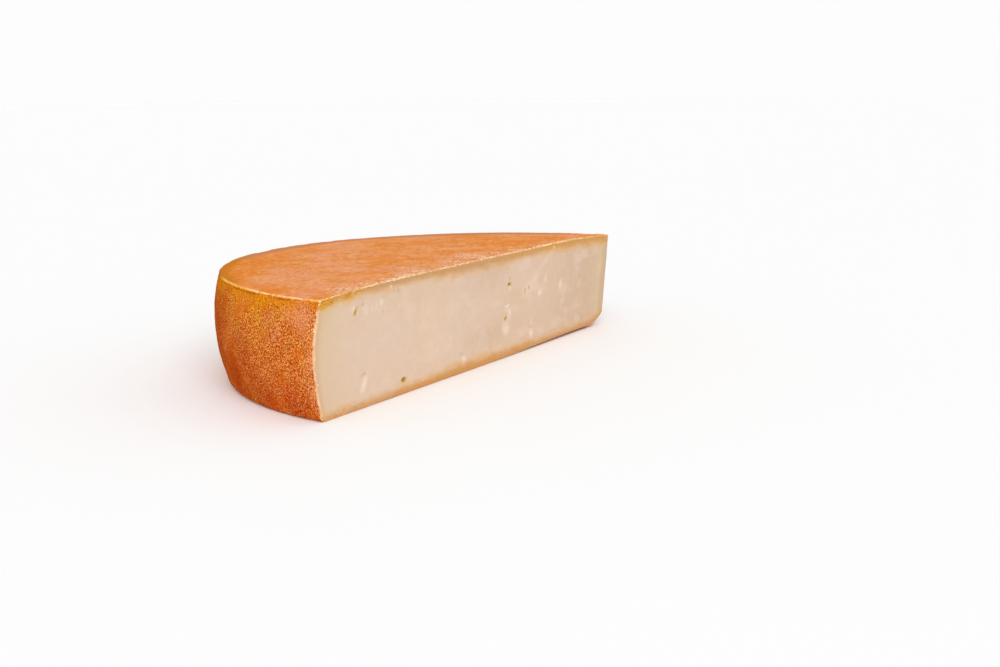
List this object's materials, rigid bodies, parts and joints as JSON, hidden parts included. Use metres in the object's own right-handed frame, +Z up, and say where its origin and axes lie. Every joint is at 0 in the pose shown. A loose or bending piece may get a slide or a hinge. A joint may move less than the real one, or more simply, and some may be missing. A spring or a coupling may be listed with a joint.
{
  "type": "raclette cheese half wheel",
  "caption": "Half wheel of semi-hard raclette cheese standing on its flat base: bulging orange rind, slightly crowned top and a pale upright cut face with small eyes.",
  "frame": {"origin": "on the surface that the half wheel stands on, under the middle of its footprint", "axes": "+Z up, X along the cut face with +X towards the end whose bottom corner is worn round, and -Y out of the cut face"},
  "size_m": [0.3116, 0.1542, 0.062],
  "materials": {
    "rind": "dry, finely speckled orange-brown washed rind, paler and pinker on the top",
    "paste": "smooth cream-coloured cut cheese with a faint greasy sheen"
  },
  "bodies": {
    "root": {"half_wheel": "rind"}
  },
  "joints": []
}
